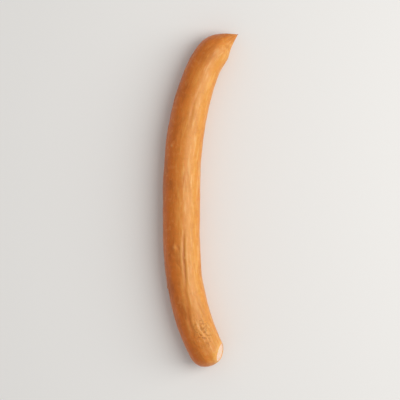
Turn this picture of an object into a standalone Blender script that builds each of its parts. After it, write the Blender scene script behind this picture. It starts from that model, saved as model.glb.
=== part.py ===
"""One thin smoked sausage link, lying on its side: a bowed round body in a natural casing, with a
pinched, pointed tip at one end and a round end whose link was cut off flat at the other.

Units are metres and +Z is up. Y runs along the sausage, from the cut end to the tip, and it bows
towards -X. The origin is on the surface it lies on, under the middle of its box. A place on the
skin is given by its distance along the centreline and its angle round the body: 0 degrees is the
top line, and positive angles turn towards the hollow, +X side.
"""

import math

import bmesh
import bpy
from mathutils import Matrix, Vector, noise

# Body
BODY_RADIUS = 0.0102
CENTRELINE = 0.1851  # from the centre of the round end to the point of the tip
CUT_END_THINNER = 0.0004  # how much the radius loses from the middle to the cut end
TIP_THINNER = 0.0019  # and to the tip
WAIST = 0.0002  # how much a slack stretch near the cut end is thinner still
WAIST_AT = 0.19  # share of the length
WAIST_SPAN = 0.11
REST_DEPTH = 0.0003  # how much of the underside is pressed flat where it lies
PRESSED_SMOOTH = math.radians(40)  # relief fades out this far either side of the underside line

# Bow: the heading of the centreline, 0 where it runs along +Y
STRAIGHT_AT = 0.427  # share of the length
CUT_END_LEAN = math.radians(-28.3)
CUT_END_BOW = 1.79  # power of the lean's growth from the straight place
TIP_LEAN = math.radians(35.5)
TIP_BOW = 1.56
TIP_CURL = math.radians(27.2)  # added over the last stretch
CURL_FROM = 0.826  # share of the length

# Tip
TIP_FLARE = 0.64  # radius gained for each metre back from the point
TIP_SHOULDER = 0.0017  # depth over which the cone rounds into the body
TIP_BLUNT = 0.0005  # radius of the pinched point
TIP_HEIGHT = 0.0078  # height of the point above the surface
TIP_STRETCH = 0.020
PLEATS = 9
PLEAT_DEPTH = 0.00030
PLEAT_REACH = 0.014  # how far back from the point the pleats run

# Cut end
ROUND_END_DEPTH = 0.94  # how far the round end stands out, as a share of its radius
ROUND_END_POWER = 0.90  # below 1 its shoulders are fuller than a ball's
CUT_RADIUS = 0.0058
CUT_TURN = math.radians(-12)  # the cut's direction seen from above, from +X
CUT_RISE = math.radians(16.5)  # and above the horizon
GATHERS = 8
GATHER_DEPTH = 0.00018
GATHER_REACH = 0.013

# Casing relief
LUMP_HEIGHT = 0.00035
LUMP_SIZE = 0.015
CREASE_DEPTH = 0.00045
CREASE_WIDTH = 0.0013
CREASE_SWAY = math.radians(2.5)  # how far a crease winds to either side of its line
# The creases on the side that shows: from and to (shares of the length), the angle at either end, depth
MAIN_CREASES = (
    (0.13, 0.38, -7, 13, 1.00),
    (0.02, 0.10, 24, 12, 0.80),
    (0.05, 0.13, -18, -2, 0.70),
    (0.01, 0.08, 46, 36, 0.70),
    (0.07, 0.18, 40, 30, 0.50),
    (0.44, 0.58, 26, 20, 0.35),
    (0.66, 0.80, 4, 12, 0.35),
)
HIDDEN_CREASES = 11
HIDDEN_CREASE_SHARE = 0.17  # length of each, as a share of the centreline
HIDDEN_CREASE_DEPTH = 0.5

# Mesh
AROUND = 44
BODY_RINGS = 72
TIP_RINGS = 13
ROUND_END_RINGS = 9

SKIN_COLOUR = (0.56, 0.225, 0.047, 1.0)
SKIN_ROUGHNESS = 0.42


def smooth_step(low, high, value):
    """0 below low, 1 above high, and a smooth rise between them."""
    share = min(1.0, max(0.0, (value - low) / (high - low)))
    return share * share * (3 - 2 * share)


def heading(share):
    """The centreline's direction at a share of its length, as an angle from +Y towards +X."""
    if share < STRAIGHT_AT:
        lean = CUT_END_LEAN * ((STRAIGHT_AT - share) / STRAIGHT_AT) ** CUT_END_BOW
    else:
        lean = TIP_LEAN * ((share - STRAIGHT_AT) / (1 - STRAIGHT_AT)) ** TIP_BOW
    return lean + TIP_CURL * smooth_step(CURL_FROM, 1, share)


def centreline(stations):
    """The centreline's points in plan at these distances, which rise from 0."""
    points = []
    place = Vector((0, 0, 0))
    walked = 0.0
    step = CENTRELINE / 2000
    for station in stations:
        while walked + step <= station:
            middle = heading((walked + step / 2) / CENTRELINE)
            place = place + Vector((math.sin(middle), math.cos(middle), 0)) * step
            walked += step
        last = heading(walked / CENTRELINE)
        points.append(place + Vector((math.sin(last), math.cos(last), 0)) * (station - walked))
    return points


def body_radius(along):
    """The radius of the body without its tip and its round end."""
    share = along / CENTRELINE
    swing = 2 * share - 1
    thinner = CUT_END_THINNER if swing < 0 else TIP_THINNER
    waist = WAIST * math.exp(-(((share - WAIST_AT) / WAIST_SPAN) ** 2))
    return BODY_RADIUS - thinner * swing * swing - waist


def tip_radius(along):
    """The radius where the body narrows to the pinched point: the smaller of the two, blended."""
    body = body_radius(along)
    cone = TIP_BLUNT + TIP_FLARE * (CENTRELINE - along)
    blend = TIP_SHOULDER / 2
    return -blend * math.log(math.exp(-body / blend) + math.exp(-cone / blend))


def height(along):
    """The centreline's height: the body lies on its underside, and the tip lifts off."""
    lying = body_radius(along) - REST_DEPTH
    lift = smooth_step(CENTRELINE - TIP_STRETCH, CENTRELINE, along)
    return lying + (TIP_HEIGHT - lying) * lift


def hidden_creases():
    """Creases round the sides and underside, spread by the golden angle."""
    golden = 180 * (3 - math.sqrt(5))
    for index in range(HIDDEN_CREASES):
        start = 0.04 + 0.76 * ((index * 0.618) % 1)
        angle = 80 + (index * golden) % 200
        yield start, start + HIDDEN_CREASE_SHARE, angle - 4, angle + 4, HIDDEN_CREASE_DEPTH


CREASES = MAIN_CREASES + tuple(hidden_creases())


def crease_relief(along, angle, radius):
    """How far the creases pull the skin in at a place."""
    share = along / CENTRELINE
    deepest = 0.0
    for start, end, first, last, depth in CREASES:
        if not start < share < end:
            continue
        run = (share - start) / (end - start)
        line = math.radians(first + (last - first) * run) + CREASE_SWAY * math.sin(math.tau * run)
        apart = math.remainder(angle - line, math.tau) * radius
        faded = math.sin(math.pi * run) ** 0.7
        deepest = max(deepest, depth * faded * math.exp(-((apart / CREASE_WIDTH) ** 2)))
    return -CREASE_DEPTH * deepest


def end_relief(along, angle):
    """The pleats that gather the casing at the tip, and the softer gathers at the cut end."""
    to_tip = 1 - smooth_step(0, PLEAT_REACH, CENTRELINE - along)
    pleat = 0.5 + 0.5 * math.cos(PLEATS * angle + 0.8 * math.sin(2 * angle))
    to_cut = 1 - smooth_step(0, GATHER_REACH, along)
    gather = 0.5 + 0.5 * math.cos(GATHERS * angle + 1.1 * math.sin(3 * angle))
    return -PLEAT_DEPTH * pleat * to_tip - GATHER_DEPTH * gather * to_cut


def lump_relief(place):
    """The slow unevenness of the filling under the skin."""
    return LUMP_HEIGHT * noise.noise(place / LUMP_SIZE)


def station_list():
    """(distance along, radius, distance past the centreline's start) for each ring."""
    rings = []
    end_radius = body_radius(0)
    for index in range(1, ROUND_END_RINGS):
        lift = math.radians(90) * (1 - index / ROUND_END_RINGS)
        past = -end_radius * ROUND_END_DEPTH * math.sin(lift) ** ROUND_END_POWER
        rings.append((0.0, end_radius * math.cos(lift) ** ROUND_END_POWER, past))
    tip_start = CENTRELINE - TIP_STRETCH
    for index in range(BODY_RINGS):
        along = tip_start * index / BODY_RINGS
        rings.append((along, tip_radius(along), 0.0))
    for index in range(TIP_RINGS):
        along = tip_start + TIP_STRETCH * index / (TIP_RINGS - 0.5)
        rings.append((along, tip_radius(along), 0.0))
    return rings


def loft_body(mesh):
    """Rings round the centreline, bridged into one closed skin with a pole at each end."""
    rings = station_list()
    points = centreline([along for along, _, _ in rings])
    loops = []
    for (along, radius, past), point in zip(rings, points):
        lean = heading(along / CENTRELINE)
        forward = Vector((math.sin(lean), math.cos(lean), 0))
        inward = Vector((math.cos(lean), -math.sin(lean), 0))
        centre = point + forward * past + Vector((0, 0, height(along)))
        loop = []
        for index in range(AROUND):
            angle = math.tau * index / AROUND
            out = inward * math.sin(angle) + Vector((0, 0, math.cos(angle)))
            relief = crease_relief(along, angle, radius) + end_relief(along, angle)
            relief += lump_relief(centre + out * radius)
            relief *= smooth_step(0, PRESSED_SMOOTH, math.pi - abs(math.remainder(angle, math.tau)))
            relief *= min(1.0, radius / BODY_RADIUS + 0.1)
            loop.append(mesh.verts.new(centre + out * (radius + relief)))
        loops.append(loop)
    for near, far in zip(loops, loops[1:]):
        for index in range(AROUND):
            after = (index + 1) % AROUND
            mesh.faces.new((near[index], near[after], far[after], far[index]))
    last = heading(1.0)
    tip_point = centreline([CENTRELINE])[0]
    tip_point = tip_point + Vector((0, 0, height(CENTRELINE)))
    tip_point = tip_point + Vector((math.sin(last), math.cos(last), 0)) * TIP_BLUNT / 2
    first = heading(0.0)
    bulge = body_radius(0) * ROUND_END_DEPTH
    round_point = Vector((-math.sin(first), -math.cos(first), 0)) * bulge
    round_point = round_point + Vector((0, 0, height(0)))
    for pole, loop in ((mesh.verts.new(tip_point), loops[-1]), (mesh.verts.new(round_point), loops[0])):
        for index in range(AROUND):
            mesh.faces.new((pole, loop[index], loop[(index + 1) % AROUND]))
    bmesh.ops.recalc_face_normals(mesh, faces=mesh.faces)


def slice_flat(mesh, point, normal):
    """Cuts off what lies beyond a plane and closes the cut with one flat face."""
    everything = mesh.verts[:] + mesh.edges[:] + mesh.faces[:]
    cut = bmesh.ops.bisect_plane(
        mesh, geom=everything, dist=1e-6, plane_co=point, plane_no=normal, clear_outer=True
    )
    edges = [part for part in cut["geom_cut"] if isinstance(part, bmesh.types.BMEdge)]
    bmesh.ops.edgeloop_fill(mesh, edges=edges)
    bmesh.ops.recalc_face_normals(mesh, faces=mesh.faces)


def cut_end(mesh):
    """The flat where the next link was cut off, showing the filling."""
    level = math.cos(CUT_RISE)
    normal = Vector((math.cos(CUT_TURN) * level, math.sin(CUT_TURN) * level, math.sin(CUT_RISE)))
    depth = math.sqrt(body_radius(0) ** 2 - CUT_RADIUS**2)
    slice_flat(mesh, Vector((0, 0, height(0))) + normal * depth, normal)


def rest_flat(mesh):
    """The pressed strip that the sausage lies on."""
    slice_flat(mesh, Vector((0, 0, 0)), Vector((0, 0, -1)))


def centre_on_origin(mesh):
    """Moves the middle of the box's underside to the origin."""
    xs = [vert.co.x for vert in mesh.verts]
    ys = [vert.co.y for vert in mesh.verts]
    middle = Vector(((min(xs) + max(xs)) / 2, (min(ys) + max(ys)) / 2, 0))
    bmesh.ops.transform(mesh, matrix=Matrix.Translation(-middle), verts=mesh.verts)


def skin_material():
    """Smoked golden-brown casing with a soft sheen."""
    material = bpy.data.materials.new("smoked_skin")
    material.use_nodes = True
    shader = material.node_tree.nodes["Principled BSDF"]
    shader.inputs["Base Color"].default_value = SKIN_COLOUR
    shader.inputs["Roughness"].default_value = SKIN_ROUGHNESS
    shader.inputs["Metallic"].default_value = 0.0
    return material


def build_sausage():
    """The whole sausage, which is one piece of food and one solid."""
    mesh = bmesh.new()
    loft_body(mesh)
    cut_end(mesh)
    rest_flat(mesh)
    centre_on_origin(mesh)
    data = bpy.data.meshes.new("sausage")
    mesh.to_mesh(data)
    mesh.free()
    data.shade_smooth()
    data.set_sharp_from_angle(angle=math.radians(40))
    data.materials.append(skin_material())
    sausage = bpy.data.objects.new("sausage", data)
    bpy.context.scene.collection.objects.link(sausage)
    return sausage


def main():
    for leftover in list(bpy.data.objects):
        bpy.data.objects.remove(leftover)
    build_sausage()


main()
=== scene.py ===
"""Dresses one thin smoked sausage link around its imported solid.

The casing is modelled straight, as a stuffed and smoked tube with its creases, pleats and gathers,
then bowed along a guide, pressed flat where it lies, and trimmed where the next link was cut off.
The filling that shows at the cut and the dried twist of casing at the tip are pieces of their own.

Sizes are metres. In the straight model Y runs along the link from the cut end to the tip, and a
place on the casing is its distance along and its turn: 0 on the top line, positive towards +X.
"""

import logging
import math
import random
from collections.abc import Callable, Iterable, Sequence
from dataclasses import dataclass, field
from enum import Enum

import bmesh
import bpy
from mathutils import Matrix, Vector


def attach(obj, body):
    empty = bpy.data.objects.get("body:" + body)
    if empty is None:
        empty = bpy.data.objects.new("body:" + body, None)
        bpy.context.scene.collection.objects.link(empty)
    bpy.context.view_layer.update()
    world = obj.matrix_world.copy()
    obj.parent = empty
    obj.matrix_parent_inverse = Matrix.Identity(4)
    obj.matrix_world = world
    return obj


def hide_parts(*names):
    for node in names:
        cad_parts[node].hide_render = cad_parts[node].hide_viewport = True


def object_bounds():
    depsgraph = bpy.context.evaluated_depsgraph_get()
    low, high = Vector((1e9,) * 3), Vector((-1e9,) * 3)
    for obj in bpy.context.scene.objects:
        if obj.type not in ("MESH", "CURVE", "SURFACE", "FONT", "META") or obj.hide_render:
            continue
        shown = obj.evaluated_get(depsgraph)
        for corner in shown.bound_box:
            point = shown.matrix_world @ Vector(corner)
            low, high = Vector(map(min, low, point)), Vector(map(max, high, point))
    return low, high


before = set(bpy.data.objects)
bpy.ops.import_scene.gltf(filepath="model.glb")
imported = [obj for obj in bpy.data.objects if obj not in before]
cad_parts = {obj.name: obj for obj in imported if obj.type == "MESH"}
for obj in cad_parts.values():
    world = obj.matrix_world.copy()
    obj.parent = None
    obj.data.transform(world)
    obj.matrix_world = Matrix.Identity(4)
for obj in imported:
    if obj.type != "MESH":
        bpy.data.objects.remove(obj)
SOLID_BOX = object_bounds()

LINK_NODE = "sausage"
BODY = "root"
MM = 0.001

Colour = tuple[float, float, float]

log = logging.getLogger("sausage_link")


class Grain(Enum):
    """The patterns that relief is pressed with."""

    CLOUDS = "CLOUDS"
    CELLS = "VORONOI"


class Part(Enum):
    """What of a mesh is picked in edit mode."""

    POINTS = "verts"
    FACES = "faces"


def smooth_step(low: float, high: float, value: float) -> float:
    """Rises smoothly from 0 to 1.

    Args:
        low: The value up to which the result is 0.
        high: The value from which it is 1.
        value: Where to read it.

    Returns:
        A share from 0 to 1.
    """
    share = min(1.0, max(0.0, (value - low) / (high - low)))
    return share * share * (3 - 2 * share)


# ---------------------------------------------------------------- modelling by hand


def deselect_all() -> None:
    """Leaves object mode with nothing selected."""
    if bpy.context.object and bpy.context.object.mode != "OBJECT":
        bpy.ops.object.mode_set(mode="OBJECT")
    bpy.ops.object.select_all(action="DESELECT")


def take_up(piece: bpy.types.Object) -> None:
    """Makes one piece the only selected and the active one."""
    deselect_all()
    piece.select_set(True)
    bpy.context.view_layer.objects.active = piece


def open_mesh(piece: bpy.types.Object) -> None:
    """Enters edit mode on a piece with nothing selected in it."""
    take_up(piece)
    bpy.ops.object.mode_set(mode="EDIT")
    bpy.ops.mesh.select_all(action="DESELECT")


def close_mesh() -> None:
    """Leaves edit mode."""
    bpy.ops.object.mode_set(mode="OBJECT")


def pick(piece: bpy.types.Object, part: Part, test: Callable[[Vector], bool]) -> int:
    """Selects the points or faces of an open mesh that pass a test on their place.

    Args:
        piece: The object in edit mode.
        part: Whether points or faces are picked.
        test: Says whether a point, or a face by its middle, is picked.

    Returns:
        How many are selected.
    """
    mesh = bmesh.from_edit_mesh(piece.data)
    for element in getattr(mesh, part.value):
        place = element.co if part is Part.POINTS else element.calc_center_median()
        element.select_set(test(place))
    mesh.select_flush_mode()
    bmesh.update_edit_mesh(piece.data)
    return sum(element.select for element in getattr(mesh, part.value))


def apply_modifiers(piece: bpy.types.Object) -> None:
    """Applies every modifier of a piece, first to last."""
    take_up(piece)
    for modifier in list(piece.modifiers):
        bpy.ops.object.modifier_apply(modifier=modifier.name)


def subdivide_smoothly(piece: bpy.types.Object, levels: int) -> None:
    """Finishes a cage as a smooth surface."""
    smooth = piece.modifiers.new("smooth", "SUBSURF")
    smooth.levels = levels
    smooth.render_levels = levels
    apply_modifiers(piece)


def draw_face_out(step: Vector, shrink: float, middle: Vector) -> None:
    """Extrudes the selected face by a step and shrinks it towards a middle.

    Args:
        step: How far the new face moves.
        shrink: Its size as a share of the old one's.
        middle: The point it shrinks towards.
    """
    bpy.ops.mesh.extrude_region_move(TRANSFORM_OT_translate={"value": tuple(step)})
    bpy.ops.transform.resize(value=(shrink,) * 3, center_override=tuple(middle))


def press(
    piece: bpy.types.Object,
    name: str,
    height: float,
    weigh: Callable[[Vector], float] | None = None,
    grain: Grain | None = None,
    grain_size: float = 1.0,
    stretch: float = 1.0,
) -> list[float]:
    """Raises or sinks a surface with a Displace modifier.

    Args:
        piece: The object, whose mesh has its final resolution.
        name: Names the modifier, its vertex group and its texture.
        height: How far the full weight moves a point outwards; negative sinks it.
        weigh: The weight at a point's place, from 0 to 1; all points move if it is left out.
        grain: The pattern that the weight is multiplied by, about its middle value.
        grain_size: The size of one grain across the link.
        stretch: How many times longer a grain is along the link.

    Returns:
        The weights, one for each point; empty without a weight function.
    """
    relief = piece.modifiers.new(name, "DISPLACE")
    relief.direction = "NORMAL"
    relief.strength = height
    relief.mid_level = 0.0
    weights = []
    if weigh:
        group = piece.vertex_groups.new(name=name)
        for point in piece.data.vertices:
            weight = min(1.0, max(0.0, weigh(point.co)))
            weights.append(weight)
            if weight > 0.001:
                group.add([point.index], weight, "REPLACE")
        relief.vertex_group = name
    ruler = None
    if grain:
        texture = bpy.data.textures.new(name, grain.value)
        texture.noise_scale = grain_size
        if grain is Grain.CLOUDS:
            texture.noise_depth = 2
        else:
            texture.distance_metric = "DISTANCE"
        ruler = bpy.data.objects.new(name + "_ruler", None)
        bpy.context.scene.collection.objects.link(ruler)
        ruler.scale = (1.0, stretch, 1.0)
        bpy.context.view_layer.update()
        relief.texture = texture
        relief.texture_coords = "OBJECT"
        relief.texture_coords_object = ruler
        relief.mid_level = 0.5
    apply_modifiers(piece)
    if ruler:
        bpy.data.objects.remove(ruler)
    if weigh:
        piece.vertex_groups.remove(piece.vertex_groups[name])
    return weights


def keep_numbers(piece: bpy.types.Object, name: str, numbers: Sequence[float]) -> None:
    """Stores one number for each point as an attribute that finishes can read."""
    layer = piece.data.attributes.new(name, "FLOAT", "POINT")
    layer.data.foreach_set("value", numbers)


def keep_places(piece: bpy.types.Object, name: str) -> None:
    """Stores each point's present place as an attribute, so that patterns follow the link."""
    layer = piece.data.attributes.new(name, "FLOAT_VECTOR", "POINT")
    layer.data.foreach_set("vector", [part for point in piece.data.vertices for part in point.co])


def shade_round(piece: bpy.types.Object, sharp_from: float) -> None:
    """Shades a piece smooth, but for edges sharper than an angle in degrees."""
    take_up(piece)
    bpy.ops.object.shade_smooth_by_angle(angle=math.radians(sharp_from))


# ---------------------------------------------------------------- materials


class Value:
    """A number that varies over a surface, which Python's operators work on."""

    def __init__(self, sheet: "NodeSheet", socket: bpy.types.NodeSocket) -> None:
        """Wraps an output socket of a sheet."""
        self.sheet = sheet
        self.socket = socket

    def _maths(self, operation: str, *terms: "Value | float") -> "Value":
        """Adds one Math node.

        Args:
            operation: The node's operation.
            terms: Its inputs in order, values or plain numbers.

        Returns:
            The node's result.
        """
        inputs = {place: term for place, term in enumerate(terms)}
        return self.sheet.node("ShaderNodeMath", {"operation": operation}, inputs).value()

    def __add__(self, other: "Value | float") -> "Value":
        """Gives self + other."""
        return self._maths("ADD", self, other)

    __radd__ = __add__

    def __sub__(self, other: "Value | float") -> "Value":
        """Gives self - other."""
        return self._maths("SUBTRACT", self, other)

    def __rsub__(self, other: "Value | float") -> "Value":
        """Gives other - self."""
        return self._maths("SUBTRACT", other, self)

    def __mul__(self, other: "Value | float") -> "Value":
        """Gives self * other."""
        return self._maths("MULTIPLY", self, other)

    __rmul__ = __mul__

    def most(self, other: "Value | float") -> "Value":
        """Gives the larger of the two."""
        return self._maths("MAXIMUM", self, other)

    def between(self, low: float, high: float) -> "Value":
        """Gives 0 below low, 1 above high and a smooth rise between them."""
        settings = {"interpolation_type": "SMOOTHSTEP"}
        inputs = {"Value": self, "From Min": low, "From Max": high}
        return self.sheet.node("ShaderNodeMapRange", settings, inputs).value("Result")


@dataclass(frozen=True)
class Placed:
    """A node on a sheet, with easy ways to its outputs."""

    sheet: "NodeSheet"
    node: bpy.types.Node

    def value(self, output: int | str = 0) -> Value:
        """Gives an output as a number for expressions."""
        return Value(self.sheet, self.node.outputs[output])

    def socket(self, output: int | str = 0) -> bpy.types.NodeSocket:
        """Gives an output as it is, for colours and vectors."""
        return self.node.outputs[output]


class NodeSheet:
    """One material's nodes."""

    def __init__(self, name: str) -> None:
        """Starts a material with its surface shader."""
        self.material = bpy.data.materials.new(name)
        self.material.use_nodes = True
        self.shader = self.material.node_tree.nodes["Principled BSDF"]

    def node(
        self,
        kind: str,
        settings: dict[str, object] | None = None,
        inputs: dict[int | str, object] | None = None,
    ) -> Placed:
        """Adds any node.

        Args:
            kind: The node's type.
            settings: Its properties, set before its sockets are filled.
            inputs: A number, colour, socket or Value for each named or numbered input.

        Returns:
            The node, placed on this sheet.
        """
        made = self.material.node_tree.nodes.new(kind)
        for name, setting in (settings or {}).items():
            setattr(made, name, setting)
        for name, term in (inputs or {}).items():
            self.feed(made.inputs[name], term)
        return Placed(self, made)

    def feed(self, socket: bpy.types.NodeSocket, term: object) -> None:
        """Fills an input with a link or a plain number or colour."""
        if isinstance(term, Value):
            term = term.socket
        if isinstance(term, bpy.types.NodeSocket):
            self.material.node_tree.links.new(term, socket)
            return
        if isinstance(term, tuple) and len(term) == 3 and socket.type == "RGBA":
            term = (*term, 1.0)
        socket.default_value = term

    def along_link(self, stretch: float) -> bpy.types.NodeSocket:
        """Gives the straight link's place in millimetres, with Y shrunk to draw patterns out."""
        place = self.node("ShaderNodeAttribute", {"attribute_name": "straight"}).socket("Vector")
        scale = (1 / MM, 1 / (MM * stretch), 1 / MM)
        return self.node("ShaderNodeMapping", None, {"Vector": place, "Scale": scale}).socket()

    def noise(self, place: bpy.types.NodeSocket, size: float, detail: float = 3.0) -> Value:
        """Gives soft noise whose patches are about size millimetres across."""
        inputs = {"Vector": place, "Scale": 1 / size, "Detail": detail, "Roughness": 0.55}
        return self.node("ShaderNodeTexNoise", None, inputs).value("Fac")

    def blend(self, factor: Value | float, first: object, second: object) -> bpy.types.NodeSocket:
        """Mixes two colours: the first where the factor is 0, the second where it is 1."""
        inputs = {0: factor, 6: first, 7: second}
        return self.node("ShaderNodeMix", {"data_type": "RGBA"}, inputs).socket(2)

    def attribute(self, name: str) -> Value:
        """Reads one of the casing's stored numbers."""
        return self.node("ShaderNodeAttribute", {"attribute_name": name}).value("Fac")

    def set_constants(self, **constants: object) -> None:
        """Sets shader sockets that are the same all over; underscores stand for spaces."""
        for name, number in constants.items():
            self.feed(self.shader.inputs[name.replace("_", " ")], number)

    def bump(self, height: Value, depth: float) -> None:
        """Gives the surface a fine relief, depth metres from the lowest to the highest."""
        inputs = {"Height": height, "Distance": depth, "Strength": 1.0}
        relief = self.node("ShaderNodeBump", None, inputs).socket()
        self.feed(self.shader.inputs["Normal"], relief)


@dataclass(frozen=True)
class SmokedSkin:
    """Natural casing smoked golden brown: mottled, thinly greasy, with fine lengthwise wrinkles. Its
    colour also holds painted light: a paler lit side, a darker shaded side, painted highlights on
    streaks, ridges and pimples, and painted shade in creases and cracks.
    """

    # golden is the colour of the painted lit side, amber that of the painted shaded side and edge.
    golden: Colour = (0.74, 0.310, 0.048)
    amber: Colour = (0.64, 0.150, 0.010)
    smoked: Colour = (0.46, 0.110, 0.009)
    # pale is real paler patches and the cut rim, and also painted highlight on streaks, ridges and
    # pimples.
    pale: Colour = (0.86, 0.475, 0.140)
    # crease is painted shade, laid into creases, folds and cracks.
    crease: Colour = (0.30, 0.065, 0.006)
    dried: Colour = (0.52, 0.150, 0.022)

    def make(self) -> bpy.types.Material:
        """Builds the material.

        Returns:
            The finished material.
        """
        sheet = NodeSheet("smoked_skin")
        even = sheet.along_link(1.0)
        drawn = sheet.along_link(1.8)
        fibres = sheet.along_link(8.0)
        patches = sheet.noise(drawn, 8.0, 4.0)
        clouds = sheet.noise(even, 2.4, 4.0)
        mottle = sheet.noise(drawn, 0.95, 3.0)
        streaks = sheet.noise(fibres, 1.3, 2.5)
        crease = sheet.attribute("crease")
        painted_ridge_highlight = sheet.attribute("painted_ridge_highlight")
        tip = sheet.attribute("tip")
        rim = sheet.attribute("rim")
        cracks = self.cracks(sheet, even) * sheet.attribute("crinkle")
        across = sheet.node("ShaderNodeSeparateXYZ", None, {"Vector": even}).value("X")
        # Painted light: paler golden towards +X, as if lit from that side, and darker amber towards
        # -X, as if in shade.
        painted_lit_side = (across + 7.0 * (clouds - 0.5)).between(-8.5, 6.5)
        colour = sheet.blend(painted_lit_side, self.amber, self.golden)
        # Painted shade: darker amber again along the far +X edge.
        colour = sheet.blend(across.between(6.8, 10.2) * 0.32, colour, self.amber)
        darker = patches.between(0.48, 0.66) * 0.55 + clouds.between(0.50, 0.66) * 0.35
        # Smoke mottling is real tone, kept fainter across the painted lit side.
        colour = sheet.blend(darker * (1 - 0.60 * painted_lit_side), colour, self.smoked)
        colour = sheet.blend(mottle.between(0.48, 0.70) * 0.08, colour, self.smoked)
        colour = sheet.blend(clouds.between(0.46, 0.34) * 0.16, colour, self.pale)
        # Painted highlight: pale lengthwise sheen streaks across the painted lit side.
        colour = sheet.blend(streaks.between(0.50, 0.64) * painted_lit_side * 0.42, colour, self.pale)
        # Painted highlight: pale on the lips beside creases and on the pimples.
        colour = sheet.blend(painted_ridge_highlight * 0.40, colour, self.pale)
        # Painted shade: dark in the creases, folds, pleats, gathers and shrivel cracks.
        colour = sheet.blend((crease * 0.42).most(cracks * 0.52), colour, self.crease)
        colour = sheet.blend(tip * 0.20, colour, self.dried)
        colour = sheet.blend(rim * 0.50, colour, self.pale)
        sheet.feed(sheet.shader.inputs["Base Color"], colour)
        rough = 0.36 + 0.16 * patches + 0.12 * crease - 0.14 * streaks.between(0.45, 0.70)
        sheet.feed(sheet.shader.inputs["Roughness"], rough)
        pores = sheet.noise(even, 0.42, 2.0)
        height = streaks * 0.35 + clouds * 0.30 + mottle * 0.20 + pores * 0.10 - cracks * 0.9
        sheet.bump(height, 0.20 * MM)
        sheet.set_constants(
            Subsurface_Weight=0.15,
            Subsurface_Radius=(1.0, 0.30, 0.10),
            Subsurface_Scale=2.0 * MM,
            Specular_IOR_Level=0.42,
        )
        return sheet.material

    def cracks(self, sheet: NodeSheet, place: bpy.types.NodeSocket) -> Value:
        """Draws short, crooked, broken marks, as on shrivelled skin.

        Args:
            sheet: The material being built.
            place: Where the pattern is read, in millimetres.

        Returns:
            1 along the marks and 0 between them.
        """
        drift = sheet.node("ShaderNodeTexNoise", None, {"Vector": place, "Scale": 0.7, "Detail": 3.0})
        bent = sheet.node(
            "ShaderNodeVectorMath",
            {"operation": "MULTIPLY_ADD"},
            {0: drift.socket("Color"), 1: (2.4, 2.4, 2.4), 2: place},
        ).socket()
        settings = {"feature": "DISTANCE_TO_EDGE"}
        inputs = {"Vector": bent, "Scale": 1 / 2.3}
        apart = sheet.node("ShaderNodeTexVoronoi", settings, inputs).value("Distance")
        return apart.between(0.20, 0.01) * sheet.noise(place, 2.0, 2.0).between(0.44, 0.56)


@dataclass(frozen=True)
class CutMeat:
    """The fine pale filling where the link was cut, with flecks of fat."""

    lean: Colour = (0.88, 0.56, 0.38)
    fatty: Colour = (0.92, 0.67, 0.49)
    rosy: Colour = (0.84, 0.47, 0.29)

    def make(self) -> bpy.types.Material:
        """Builds the material.

        Returns:
            The finished material.
        """
        sheet = NodeSheet("cut_meat")
        place = sheet.node("ShaderNodeTexCoord").socket("Object")
        even = sheet.node(
            "ShaderNodeMapping", None, {"Vector": place, "Scale": (1 / MM, 1 / MM, 1 / MM)}
        ).socket()
        mince = sheet.noise(even, 1.1, 5.0)
        lumps = sheet.noise(even, 2.4, 3.0)
        colour = sheet.blend(mince.between(0.42, 0.62), self.lean, self.fatty)
        colour = sheet.blend(lumps.between(0.54, 0.70) * 0.35, colour, self.rosy)
        sheet.feed(sheet.shader.inputs["Base Color"], colour)
        sheet.feed(sheet.shader.inputs["Roughness"], 0.34 + 0.25 * mince)
        sheet.bump(mince * 0.6 + lumps * 0.4, 0.12 * MM)
        sheet.set_constants(
            Subsurface_Weight=0.30,
            Subsurface_Radius=(1.0, 0.45, 0.25),
            Subsurface_Scale=1.6 * MM,
            Coat_Weight=0.15,
            Coat_Roughness=0.2,
        )
        return sheet.material


@dataclass(frozen=True)
class DriedTwist:
    """The hard, dark amber end where the casing was twisted shut and dried."""

    amber: Colour = (0.56, 0.18, 0.030)
    dark: Colour = (0.34, 0.080, 0.014)

    def make(self) -> bpy.types.Material:
        """Builds the material.

        Returns:
            The finished material.
        """
        sheet = NodeSheet("dried_twist")
        fibres = sheet.along_link(5.0)
        strands = sheet.noise(fibres, 0.5, 3.0)
        colour = sheet.blend(strands.between(0.4, 0.65), self.amber, self.dark)
        sheet.feed(sheet.shader.inputs["Base Color"], colour)
        sheet.feed(sheet.shader.inputs["Roughness"], 0.35 + 0.2 * strands)
        sheet.bump(strands, 0.10 * MM)
        sheet.set_constants(Subsurface_Weight=0.2, Subsurface_Scale=1.0 * MM, Coat_Weight=0.15)
        return sheet.material


@dataclass(frozen=True)
class PaleFloor:
    """A plain, matt, off-white studio floor."""

    shade: Colour = (0.80, 0.795, 0.785)

    def make(self) -> bpy.types.Material:
        """Builds the material.

        Returns:
            The finished material.
        """
        sheet = NodeSheet("pale_floor")
        sheet.set_constants(Base_Color=self.shade, Roughness=0.75, Specular_IOR_Level=0.2)
        return sheet.material


# ---------------------------------------------------------------- the link's form


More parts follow.
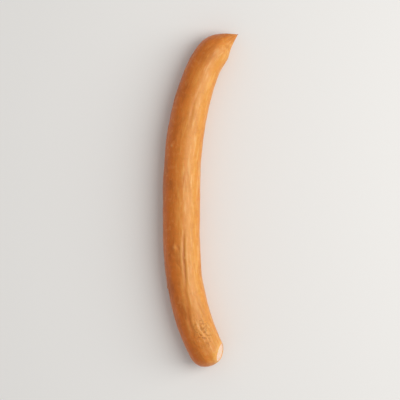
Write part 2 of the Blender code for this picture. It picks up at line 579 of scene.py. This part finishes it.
@dataclass(frozen=True)
class Bow:
    """The line that the middle of the link follows as it lies on its side."""

    length: float = 0.1851
    straight_at: float = 0.427
    cut_lean: float = math.radians(-28.3)
    cut_bow: float = 1.79
    tip_lean: float = math.radians(35.5)
    tip_bow: float = 1.56
    tip_curl: float = math.radians(27.2)
    curl_from: float = 0.826
    guide_points: int = 240

    def heading(self, share: float) -> float:
        """Gives the line's direction at a share of its length, from +Y towards +X."""
        if share < self.straight_at:
            run = (self.straight_at - share) / self.straight_at
            lean = self.cut_lean * run**self.cut_bow
        else:
            run = (share - self.straight_at) / (1 - self.straight_at)
            lean = self.tip_lean * run**self.tip_bow
        return lean + self.tip_curl * smooth_step(self.curl_from, 1, share)

    def ahead(self, share: float) -> Vector:
        """Gives the line's direction as a level vector."""
        return Vector((math.sin(self.heading(share)), math.cos(self.heading(share)), 0))

    def guide(self, start: Vector, height: Callable[[float], float]) -> bpy.types.Object:
        """Draws the line as a guide that pieces are bowed along.

        Args:
            start: Where the line starts in plan.
            height: The line's height at a distance along it.

        Returns:
            A curve object.
        """
        curve = bpy.data.curves.new("bow_guide", "CURVE")
        curve.dimensions = "3D"
        curve.twist_mode = "Z_UP"
        curve.use_deform_bounds = False
        spline = curve.splines.new("POLY")
        spline.points.add(self.guide_points)
        place = Vector((start.x, start.y, 0))
        step = self.length / self.guide_points
        for index, point in enumerate(spline.points):
            level = height(index * step)
            point.co = (place.x, place.y, level, 1)
            point.tilt = math.radians(90)
            place = place + self.ahead((index + 0.5) / self.guide_points) * step
        guide = bpy.data.objects.new("bow_guide", curve)
        bpy.context.scene.collection.objects.link(guide)
        return guide


@dataclass(frozen=True)
class Girth:
    """How thick the link is along its length, and how high its middle lies."""

    body: float = 0.0102
    cut_thinner: float = 0.0004
    tip_thinner: float = 0.0019
    waist: float = 0.0002
    waist_at: float = 0.19
    waist_span: float = 0.11
    round_depth: float = 0.94
    round_power: float = 0.90
    flare: float = 0.64
    shoulder: float = 0.0017
    blunt: float = 0.0005
    tip_height: float = 0.0078
    tip_stretch: float = 0.020
    rest_depth: float = 0.0003

    def stuffed(self, share: float) -> float:
        """Gives the radius of the body alone at a share of the length."""
        swing = 2 * share - 1
        thinner = self.cut_thinner if swing < 0 else self.tip_thinner
        slack = self.waist * math.exp(-(((share - self.waist_at) / self.waist_span) ** 2))
        return self.body - thinner * swing * swing - slack

    def radius(self, along: float, length: float) -> float:
        """Gives the radius with the narrowing to the tip, which blends softly into the body."""
        blend = self.shoulder / 2
        body = math.exp(-self.stuffed(along / length) / blend)
        cone = math.exp(-(self.blunt + self.flare * (length - along)) / blend)
        return -blend * math.log(body + cone)

    def height(self, along: float, length: float) -> float:
        """Gives the height of the middle line above the surface the link lies on."""
        lying = self.stuffed(along / length) - self.rest_depth
        lift = smooth_step(length - self.tip_stretch, length, along)
        return lying + (self.tip_height - lying) * lift


@dataclass(frozen=True)
class Crease:
    """One long fold in the casing."""

    start: float
    end: float
    first_turn: float
    last_turn: float
    depth: float
    width: float = 0.0008
    sway: float = 2.5

    def apart(self, share: float, turn: float, radius: float) -> float:
        """Gives how many of its widths a place is away from this crease's line.

        Args:
            share: How far along the link the place is.
            turn: Its turn round the link, in radians.
            radius: The link's radius there.

        Returns:
            The distance round the link, as a number of widths.
        """
        run = (share - self.start) / (self.end - self.start)
        line = self.first_turn + (self.last_turn - self.first_turn) * run
        line += self.sway * math.sin(math.tau * run)
        return abs(math.remainder(turn - math.radians(line), math.tau)) * radius / self.width

    def fade(self, share: float) -> float:
        """Gives the crease's depth at a share of the length: it runs out at both ends."""
        if not self.start < share < self.end:
            return 0.0
        run = (share - self.start) / (self.end - self.start)
        return self.depth * math.sin(math.pi * run) ** 0.6

    def pull(self, share: float, turn: float, radius: float) -> float:
        """Gives how strongly the crease pulls a place in."""
        fade = self.fade(share)
        return fade * math.exp(-(self.apart(share, turn, radius) ** 2)) if fade else 0.0

    def lip(self, share: float, turn: float, radius: float) -> float:
        """Gives how far the casing bulges beside the crease."""
        fade = self.fade(share)
        return fade * math.exp(-((self.apart(share, turn, radius) - 2.0) ** 2)) if fade else 0.0


@dataclass(frozen=True)
class Pimple:
    """A small blister in the casing."""

    share: float
    turn: float
    size: float


@dataclass(frozen=True)
class Shrivel:
    """A patch where the casing has crinkled as it dried."""

    share: float = 0.050
    share_reach: float = 0.050
    turn: float = 18.0
    turn_reach: float = 34.0
    grain: float = 0.0021
    stretch: float = 1.3
    height: float = 0.00030

    def weight(self, share: float, turn: float) -> float:
        """Gives 1 in the middle of the patch, falling to 0 away from it.

        Args:
            share: How far along the link the place is.
            turn: Its turn round the link, in radians.

        Returns:
            A share from 0 to 1.
        """
        along = (share - self.share) / self.share_reach
        around = (math.degrees(turn) - self.turn) / self.turn_reach
        return math.exp(-(along**2) - around**2)


@dataclass(frozen=True)
class CutPlane:
    """Where the next link was cut off."""

    radius: float = 0.0058
    turn: float = math.radians(-12)
    rise: float = math.radians(16.5)

    def normal(self) -> Vector:
        """Gives the direction that the cut faces."""
        level = math.cos(self.rise)
        across = (math.cos(self.turn) * level, math.sin(self.turn) * level)
        return Vector((*across, math.sin(self.rise)))

    def level_axis(self) -> Vector:
        """Gives the level direction that lies in the cut."""
        return Vector((-math.sin(self.turn), math.cos(self.turn), 0))


@dataclass
class Casing:
    """The link's skin, modelled straight, creased, bowed and trimmed."""

    bow: Bow
    girth: Girth
    cut: CutPlane
    around: int = 28
    end_rings: int = 5
    body_rings: int = 34
    tip_rings: int = 10
    smooth_levels: int = 3
    lump_height: float = 0.00035
    lump_size: float = 0.015
    wrinkle_height: float = 0.00016
    crease_depth: float = 0.00034
    lip_height: float = 0.00013
    fine_depth: float = 0.00018
    fine_count: int = 90
    pleats: int = 9
    pleat_depth: float = 0.00032
    pleat_reach: float = 0.012
    gathers: int = 8
    gather_depth: float = 0.00022
    gather_reach: float = 0.011
    pressed_turn: float = math.radians(40)
    weld: float = 0.00006
    cut_accuracy: float = 0.000002
    lip_steps: tuple[tuple[float, float], ...] = (
        (0.00010, 0.00010),
        (0.00014, 0.00004),
        (0.00012, -0.00008),
        (0.00008, -0.00030),
    )
    seed: int = 7
    shrivel: Shrivel = Shrivel()
    main_creases: tuple[Crease, ...] = (
        Crease(0.12, 0.24, -8, 2, 0.45),
        Crease(0.18, 0.37, -2, 12, 0.90, 0.7 * MM),
        Crease(0.03, 0.09, 24, 14, 0.50),
        Crease(0.05, 0.12, -20, -6, 0.60),
        Crease(0.02, 0.08, 46, 36, 0.45),
        Crease(0.08, 0.17, 40, 31, 0.35),
        Crease(0.306, 0.330, -13, -10, 0.60),
        Crease(0.44, 0.56, 27, 21, 0.30),
        Crease(0.66, 0.78, 5, 12, 0.30),
    )
    hidden_creases: int = 11
    hidden_share: float = 0.17
    hidden_depth: float = 0.5
    pimples: tuple[Pimple, ...] = (
        Pimple(0.317, -24, 0.8 * MM),
        Pimple(0.285, 6, 0.6 * MM),
        Pimple(0.612, -38, 0.7 * MM),
        Pimple(0.742, 31, 0.6 * MM),
        Pimple(0.455, 118, 0.8 * MM),
        Pimple(0.205, -96, 0.7 * MM),
        Pimple(0.830, -71, 0.6 * MM),
    )
    pimple_height: float = 0.00040
    start: Vector = field(default_factory=Vector)
    opening: list[Vector] = field(default_factory=list)

    def build(self) -> bpy.types.Object:
        """Models the casing from its cage to its trimmed, bowed form.

        Returns:
            The finished piece.
        """
        skin = self.cage()
        subdivide_smoothly(skin, self.smooth_levels)
        keep_places(skin, "straight")
        self.emboss(skin)
        self.lay(skin)
        self.trim(skin)
        shade_round(skin, 50)
        return skin

    def stations(self) -> list[tuple[float, float]]:
        """Lists the cage's rings from the cut end to the tip, as (distance along, radius)."""
        length = self.bow.length
        rings = []
        end = self.girth.radius(0, length)
        for index in range(self.end_rings):
            lift = math.radians(84 * (1 - index / self.end_rings))
            past = self.girth.round_depth * math.sin(lift) ** self.girth.round_power
            rings.append((-end * past, end * math.cos(lift) ** self.girth.round_power))
        tip_start = length - self.girth.tip_stretch
        for index in range(self.body_rings):
            along = tip_start * index / self.body_rings
            rings.append((along, self.girth.radius(along, length)))
        for index in range(self.tip_rings + 1):
            along = tip_start + self.girth.tip_stretch * index / self.tip_rings
            rings.append((along, self.girth.radius(along, length)))
        return rings

    def cage(self) -> bpy.types.Object:
        """Draws the tube out of a disc, ring by ring, and closes it at both ends.

        Returns:
            The straight cage.
        """
        swell = 6 / (4 + 2 * math.cos(math.tau / self.around))
        rings = self.stations()
        deselect_all()
        bpy.ops.mesh.primitive_circle_add(
            vertices=self.around,
            radius=rings[0][1] * swell,
            fill_type="TRIFAN",
            location=(0, rings[0][0], 0),
            rotation=(math.radians(90), 0, 0),
        )
        cage = bpy.context.object
        cage.name = "sausage_casing"
        bpy.ops.object.transform_apply(location=True, rotation=True, scale=True)
        bpy.ops.object.mode_set(mode="EDIT")
        bpy.ops.mesh.select_all(action="SELECT")
        for (behind, narrow), (along, wide) in zip(rings, rings[1:]):
            step = {"value": (0, along - behind, 0)}
            bpy.ops.mesh.extrude_region_move(TRANSFORM_OT_translate=step)
            grow = wide / narrow
            bpy.ops.transform.resize(value=(grow, 1, grow), center_override=(0, along, 0))
        bpy.ops.mesh.select_all(action="SELECT")
        bpy.ops.mesh.normals_make_consistent(inside=False)
        close_mesh()
        return cage

    def turn_and_radius(self, place: Vector) -> tuple[float, float]:
        """Gives a straight place's turn from the top line towards +X, and its radius."""
        return math.atan2(place.x, place.z), math.hypot(place.x, place.z)

    def unpressed(self, place: Vector) -> float:
        """Gives 0 along the underside, where the link's weight smooths it, and 1 elsewhere."""
        turn, _ = self.turn_and_radius(place)
        return smooth_step(0, self.pressed_turn, math.pi - abs(turn))

    def slack(self, place: Vector) -> float:
        """Says how loose the casing is: most towards the cut end, least above the middle."""
        share = place.y / self.bow.length
        loose = 0.45 + 0.55 * (1 - smooth_step(0.38, 0.58, share))
        at_tip = smooth_step(0.80, 0.97, share)
        return self.unpressed(place) * max(loose, 0.8 * at_tip)

    def fine_creases(self) -> list[Crease]:
        """Scatters short, shallow folds round the link, closest together near the cut."""
        draw = random.Random(self.seed)
        folds = []
        for _ in range(self.fine_count):
            start = 0.94 * draw.random() ** 2.4
            span = draw.uniform(0.015, 0.05)
            turn = draw.uniform(0, 360)
            slant = draw.uniform(-14, 14)
            depth = draw.uniform(0.35, 1.0) * (1 - 0.55 * smooth_step(0.15, 0.45, start))
            width = draw.uniform(0.4, 0.7) * MM
            folds.append(Crease(start, start + span, turn, turn + slant, depth, width))
        return folds

    def all_main_creases(self) -> list[Crease]:
        """Adds folds round the sides and underside to the ones that show."""
        golden = 180 * (3 - math.sqrt(5))
        folds = list(self.main_creases)
        for index in range(self.hidden_creases):
            start = 0.04 + 0.76 * ((index * 0.618) % 1)
            turn = 80 + (index * golden) % 200
            end = start + self.hidden_share
            folds.append(Crease(start, end, turn - 4, turn + 4, self.hidden_depth))
        return folds

    def strongest(
        self, folds: Iterable[Crease], form: Callable[[Crease, float, float, float], float]
    ) -> Callable[[Vector], float]:
        """Makes a weight function from creases.

        Args:
            folds: The creases.
            form: What of a crease is weighed: its pull or its lip.

        Returns:
            A function from a straight place to the strongest weight there.
        """
        folds = list(folds)

        def weigh(place: Vector) -> float:
            """Gives the strongest crease's weight at a place."""
            share = place.y / self.bow.length
            turn, radius = self.turn_and_radius(place)
            strongest = max((form(fold, share, turn, radius) for fold in folds), default=0.0)
            return strongest * self.unpressed(place)

        return weigh

    def pleat_pull(self, place: Vector) -> float:
        """Gives how far the pleats that gather the casing at the tip pull a place in."""
        turn, radius = self.turn_and_radius(place)
        reach = 1 - smooth_step(0, self.pleat_reach, self.bow.length - place.y)
        fold = 0.5 + 0.5 * math.cos(self.pleats * turn + 0.8 * math.sin(2 * turn))
        return fold**1.5 * reach * min(1.0, radius / 0.004)

    def gather_pull(self, place: Vector) -> float:
        """Gives how far the softer gathers at the cut end pull a place in."""
        turn, _ = self.turn_and_radius(place)
        reach = 1 - smooth_step(0, self.gather_reach, place.y)
        fold = 0.5 + 0.5 * math.cos(self.gathers * turn + 1.1 * math.sin(3 * turn))
        return fold * reach * smooth_step(-0.009, -0.004, place.y)

    def crinkle(self, place: Vector) -> float:
        """Marks the shrivelled patch above the cut, on the hollow side."""
        turn, _ = self.turn_and_radius(place)
        return self.shrivel.weight(place.y / self.bow.length, turn)

    def blister(self, place: Vector) -> float:
        """Gives how far a pimple lifts a place."""
        turn, radius = self.turn_and_radius(place)
        lift = 0.0
        for pimple in self.pimples:
            along = place.y - pimple.share * self.bow.length
            across = math.remainder(turn - math.radians(pimple.turn), math.tau) * radius
            lift = max(lift, math.exp(-((along**2 + across**2) / pimple.size**2)))
        return lift

    def emboss(self, skin: bpy.types.Object) -> None:
        """Presses all the relief into the straight casing and stores what finishes need."""
        press(skin, "lumps", self.lump_height * 2, self.unpressed, Grain.CLOUDS, self.lump_size)
        press(skin, "wrinkles", self.wrinkle_height, self.slack, Grain.CLOUDS, 1.5 * MM, 3.2)
        main_folds = self.all_main_creases()
        fine_folds = self.fine_creases()
        main = press(skin, "creases", -self.crease_depth, self.strongest(main_folds, Crease.pull))
        lips = press(skin, "lips", self.lip_height, self.strongest(main_folds, Crease.lip))
        fine = press(skin, "folds", -self.fine_depth, self.strongest(fine_folds, Crease.pull))
        pleat = press(skin, "pleats", -self.pleat_depth, self.pleat_pull)
        gather = press(skin, "gathers", -self.gather_depth, self.gather_pull)
        crumpled = self.shrivel
        relief = (crumpled.height, self.crinkle, Grain.CELLS, crumpled.grain, crumpled.stretch)
        crinkle = press(skin, "crinkles", *relief)
        blisters = press(skin, "pimples", self.pimple_height, self.blister)
        # These weights set how much painted shade each kind of fold gets, and its added roughness.
        deepest = [
            max(a, 0.45 * b, 0.35 * c, 0.3 * d) for a, b, c, d in zip(main, fine, pleat, gather)
        ]
        keep_numbers(skin, "crease", deepest)
        keep_numbers(skin, "crinkle", crinkle)
        # Lips and pimples are kept as the mask for their painted highlight.
        keep_numbers(skin, "painted_ridge_highlight", [max(pair) for pair in zip(lips, blisters)])
        length = self.bow.length
        tip = [smooth_step(length - 0.005, length, point.co.y) for point in skin.data.vertices]
        keep_numbers(skin, "tip", tip)

    def lay(self, skin: bpy.types.Object) -> None:
        """Bows the straight casing, centres it in the solid's box and presses it flat below."""
        self.bend(skin)
        low, high = box_of(skin)
        middle = (SOLID_BOX[0] + SOLID_BOX[1]) / 2 - (low + high) / 2
        self.start = Vector((middle.x, middle.y, 0))
        open_mesh(skin)
        bpy.ops.mesh.select_all(action="SELECT")
        bpy.ops.transform.translate(value=tuple(self.start))
        pick(skin, Part.POINTS, lambda place: place.z < 0)
        bpy.ops.transform.resize(value=(1, 1, 0), center_override=(0, 0, 0))
        close_mesh()

    def bend(self, piece: bpy.types.Object) -> None:
        """Bows a piece of the straight model along the link's line."""
        guide = self.bow.guide(self.start, lambda along: self.girth.height(along, self.bow.length))
        bowing = piece.modifiers.new("bow", "CURVE")
        bowing.object = guide
        bowing.deform_axis = "POS_Y"
        apply_modifiers(piece)
        bpy.data.objects.remove(guide)

    def cut_middle(self) -> Vector:
        """Gives the middle of the cut's flat."""
        end = self.girth.stuffed(0)
        depth = math.sqrt(end**2 - self.cut.radius**2)
        centre = self.start + Vector((0, 0, self.girth.height(0, self.bow.length)))
        return centre + self.cut.normal() * depth

    def trim(self, skin: bpy.types.Object) -> None:
        """Cuts the end off flat and turns the casing in over the filling as a thin lip."""
        normal = self.cut.normal()
        middle = self.cut_middle()
        reach = [
            smooth_step(1.4 * MM, 0.3 * MM, abs((point.co - middle).dot(normal)))
            if (point.co - middle).length < 2 * self.cut.radius
            else 0.0
            for point in skin.data.vertices
        ]
        keep_numbers(skin, "rim", reach)
        open_mesh(skin)
        bpy.ops.mesh.select_all(action="SELECT")
        bpy.ops.mesh.bisect(
            plane_co=middle, plane_no=normal, clear_outer=True, threshold=self.cut_accuracy
        )
        bpy.ops.mesh.remove_doubles(threshold=self.weld)
        bpy.ops.mesh.edge_face_add()
        for narrow, rise in self.lip_steps:
            draw_face_out(normal * rise, 1 - narrow / self.cut.radius, middle)
        points = bmesh.from_edit_mesh(skin.data).verts
        self.opening = [point.co.copy() for point in points if point.select]
        bpy.ops.mesh.select_all(action="SELECT")
        bpy.ops.mesh.normals_make_consistent(inside=False)
        close_mesh()


@dataclass
class Filling:
    """The meat that shows at the cut, slightly swollen out of the casing."""

    casing: Casing
    tuck: float = 0.00025
    thickness: float = 0.0008
    swell: float = 0.00055
    sides: int = 48
    rings: int = 8
    grain_size: float = 0.0014
    grain_height: float = 0.00016

    def build(self) -> bpy.types.Object:
        """Models the filling as a low dome, lying flat, and sets it into the casing's opening.

        Returns:
            The finished piece.
        """
        deselect_all()
        bpy.ops.mesh.primitive_circle_add(vertices=self.sides, radius=1, fill_type="NGON")
        dome = bpy.context.object
        dome.name = "cut_filling"
        open_mesh(dome)
        bpy.ops.mesh.select_all(action="SELECT")
        draw_face_out(Vector((0, 0, 0.6 * self.thickness)), 1.0, Vector())
        draw_face_out(Vector((0, 0, 0.4 * self.thickness)), 1.0, Vector())
        top = self.thickness
        size = 1.0
        for index in range(self.rings):
            smaller = 1 - (index + 1) / (self.rings + 1)
            rise = self.swell * (size**2 - smaller**2)
            bpy.ops.mesh.extrude_region_move(TRANSFORM_OT_translate={"value": (0, 0, rise)})
            shrink = (smaller / size, smaller / size, 1)
            bpy.ops.transform.resize(value=shrink, center_override=(0, 0, top))
            top += rise
            size = smaller
        bpy.ops.mesh.poke()
        bpy.ops.mesh.select_all(action="SELECT")
        bpy.ops.mesh.normals_make_consistent(inside=False)
        close_mesh()
        self.set_in(dome)
        subdivide_smoothly(dome, 2)
        press(dome, "mince", self.grain_height, None, Grain.CLOUDS, self.grain_size)
        shade_round(dome, 60)
        return dome

    def set_in(self, dome: bpy.types.Object) -> None:
        """Sizes the flat dome to the casing's opening and turns it to face as the cut does."""
        facing = self.casing.cut.normal()
        level = self.casing.cut.level_axis()
        upward = facing.cross(level)
        spans = []
        middle = Vector()
        for axis in (level, upward, facing):
            reach = [place.dot(axis) for place in self.casing.opening]
            spans.append((max(reach) - min(reach)) / 2)
            middle += axis * (max(reach) + min(reach)) / 2
        dome.scale = (spans[0] + self.tuck, spans[1] + self.tuck, 1)
        dome.rotation_euler = Matrix((level, upward, facing)).transposed().to_euler()
        dome.location = middle - facing * self.thickness
        take_up(dome)
        bpy.ops.object.transform_apply(location=True, rotation=True, scale=True)


@dataclass
class Twist:
    """The short stub of twisted, dried casing that closes the tip."""

    casing: Casing
    sides: int = 10
    rings: int = 9
    buried: float = 0.0016
    length: float = 0.0023
    radius: float = 0.00090
    twist_step: float = math.radians(14)

    def build(self) -> bpy.types.Object:
        """Draws the stub out of a small star-shaped disc, turning it at each step.

        Returns:
            The finished piece.
        """
        along = self.casing.bow.length - self.buried
        deselect_all()
        bpy.ops.mesh.primitive_circle_add(
            vertices=self.sides,
            radius=self.radius,
            fill_type="TRIFAN",
            location=(0, along, 0),
            rotation=(math.radians(90), 0, 0),
        )
        stub = bpy.context.object
        stub.name = "tip_twist"
        bpy.ops.object.transform_apply(location=True, rotation=True, scale=True)
        open_mesh(stub)
        mesh = bmesh.from_edit_mesh(stub.data)
        rim = [point for point in mesh.verts if math.hypot(point.co.x, point.co.z) > self.radius / 2]
        for index, point in enumerate(rim):
            point.select_set(index % 2 == 0)
        bmesh.update_edit_mesh(stub.data)
        bpy.ops.transform.resize(value=(0.72, 1, 0.72), center_override=(0, along, 0))
        bpy.ops.mesh.select_all(action="SELECT")
        step = self.length / self.rings
        for index in range(self.rings):
            along += step
            bpy.ops.mesh.extrude_region_move(TRANSFORM_OT_translate={"value": (0, step, 0)})
            swell = 1 + 0.16 * math.sin(math.pi * (index + 1) / 3) - 0.05 * index
            bpy.ops.transform.resize(value=(swell, 1, swell), center_override=(0, along, 0))
            bpy.ops.transform.rotate(
                value=self.twist_step, orient_axis="Y", center_override=(0, along, 0)
            )
        bpy.ops.mesh.select_all(action="SELECT")
        bpy.ops.mesh.normals_make_consistent(inside=False)
        close_mesh()
        subdivide_smoothly(stub, 2)
        keep_places(stub, "straight")
        self.casing.bend(stub)
        shade_round(stub, 60)
        return stub


def box_of(piece: bpy.types.Object) -> tuple[Vector, Vector]:
    """Gives the lowest and highest corners of a piece's mesh."""
    places = [point.co for point in piece.data.vertices]
    low = Vector(min(place[axis] for place in places) for axis in range(3))
    high = Vector(max(place[axis] for place in places) for axis in range(3))
    return low, high


# ---------------------------------------------------------------- studio


@dataclass
class Studio:
    """A pale floor, soft lights and the camera above the link."""

    distance: float = 1.2
    framed: float = 0.218
    floor_size: float = 6.0
    sensor: float = 36.0

    def build(self) -> None:
        """Sets up everything that isn't part of the object."""
        self.lay_floor()
        self.soft_light("key", (0.555, 0.06, 0.59), (0.50, 1.00), 5.3, (1.0, 0.985, 0.96))
        self.fill_room(0.53)
        self.place_camera()

    def lay_floor(self) -> None:
        """Lays the floor that the link rests on."""
        deselect_all()
        bpy.ops.mesh.primitive_plane_add(size=self.floor_size, location=(0, 0, 0))
        floor = bpy.context.object
        floor.name = "studio_floor"
        floor.data.materials.append(PaleFloor().make())

    def soft_light(
        self,
        name: str,
        place: tuple[float, float, float],
        size: tuple[float, float],
        power: float,
        colour: Colour,
    ) -> None:
        """Hangs one rectangular soft light, facing the link.

        Args:
            name: The light's name.
            place: Where it hangs.
            size: Its width and height.
            power: Its power in watts.
            colour: Its colour.
        """
        deselect_all()
        bpy.ops.object.light_add(type="AREA", location=place)
        lamp = bpy.context.object
        lamp.name = name
        lamp.rotation_euler = (-Vector(place)).to_track_quat("-Z", "Y").to_euler()
        lamp.data.shape = "RECTANGLE"
        lamp.data.size, lamp.data.size_y = size
        lamp.data.energy = power
        lamp.data.color = colour

    def fill_room(self, strength: float) -> None:
        """Fills the room with even, faint light."""
        world = bpy.data.worlds.new("studio")
        world.use_nodes = True
        backdrop = world.node_tree.nodes["Background"]
        backdrop.inputs["Color"].default_value = (1.0, 0.985, 0.965, 1.0)
        backdrop.inputs["Strength"].default_value = strength
        bpy.context.scene.world = world
        world.cycles_visibility.glossy = False

    def place_camera(self) -> None:
        """Looks straight down on the link, with the tip up in the picture."""
        low, high = SOLID_BOX
        middle = (low + high) / 2
        deselect_all()
        bpy.ops.object.camera_add(location=(middle.x, middle.y, high.z + self.distance))
        camera = bpy.context.object
        camera.name = "overhead_camera"
        camera.data.sensor_width = self.sensor
        camera.data.lens = self.sensor * self.distance / self.framed
        camera.data.clip_start = 0.05
        camera.data.clip_end = 20
        bpy.context.scene.camera = camera
        bpy.context.scene.view_settings.view_transform = "Standard"


def hand_over(piece: bpy.types.Object, material: bpy.types.Material) -> None:
    """Dresses a piece, ties it to the link's body and reports it.

    Args:
        piece: The finished mesh.
        material: Its finish.
    """
    piece.data.materials.clear()
    piece.data.materials.append(material)
    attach(piece, BODY)
    log.info("%s: %d faces", piece.name, len(piece.data.polygons))


def write_sizes() -> None:
    """Updates the view layer."""
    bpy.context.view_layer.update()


def main() -> None:
    """Builds the link's pieces and the studio round them."""
    logging.basicConfig(level=logging.INFO, format="%(message)s")
    casing = Casing(Bow(), Girth(), CutPlane())
    skin = casing.build()
    hand_over(skin, SmokedSkin().make())
    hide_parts(LINK_NODE)
    hand_over(Filling(casing).build(), CutMeat().make())
    hand_over(Twist(casing).build(), DriedTwist().make())
    Studio().build()
    write_sizes()


if __name__ == "__main__":
    main()
